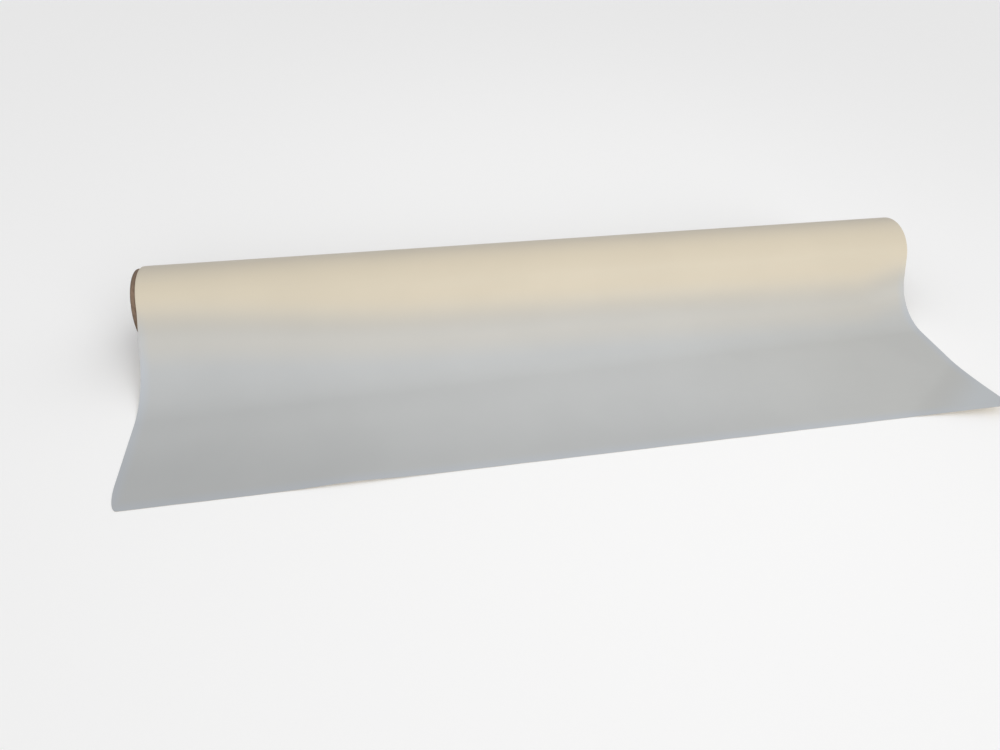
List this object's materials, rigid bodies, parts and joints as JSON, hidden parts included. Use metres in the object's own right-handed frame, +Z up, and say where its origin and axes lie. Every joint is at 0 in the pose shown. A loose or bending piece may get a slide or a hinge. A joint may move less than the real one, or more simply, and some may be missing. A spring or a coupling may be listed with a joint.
{
  "type": "roll of sign vinyl",
  "caption": "Roll of matte self-adhesive sign vinyl on a paperboard core, with the end of the web drawn off over the top and laid forward on the table.",
  "frame": {"origin": "middle of the footprint, on the table", "axes": "+X along the roll, from the end where the core stands out to the other; -Y the way the sheet is pulled; +Z up"},
  "size_m": [0.9194, 0.3034, 0.0909],
  "materials": {
    "vinyl_film": "matte warm white calendered vinyl",
    "release_liner": "smooth silicone-coated kraft release paper",
    "core_board": "dense grey-brown core board",
    "kraft_ply": "matte brown kraft paper",
    "tape": "smooth double-sided tape"
  },
  "bodies": {
    "web": {"web_liner": "release_liner", "web_film": "vinyl_film"},
    "roll": {"core_inner_ply": "kraft_ply", "core_body_ply_1": "core_board", "core_body_ply_2": "core_board", "core_body_ply_3": "core_board", "core_body_ply_4": "core_board", "core_body_ply_5": "core_board", "core_outer_ply": "kraft_ply", "starter_tape": "tape", "wound_liner": "release_liner", "wound_film": "vinyl_film"},
    "sheet": {"sheet_liner": "release_liner", "sheet_film": "vinyl_film"}
  },
  "joints": [
    {"name": "roll_spin", "type": "hinge", "parent": "web", "child": "roll", "pos_m": [0, 0.10627, 0.04539], "axis": [1, 0, 0], "range_deg": [-60, 720]},
    {"name": "pay_out", "type": "slide", "parent": "web", "child": "sheet", "axis": [0, -1, 0], "range_m": [-0.0476, 0.5706], "deforming": ["web_liner", "web_film", "sheet_liner", "sheet_film"]}
  ],
  "couplings": [
    {"joint": "pay_out", "follows": "roll_spin", "m_per_rad": 0.0454}
  ]
}
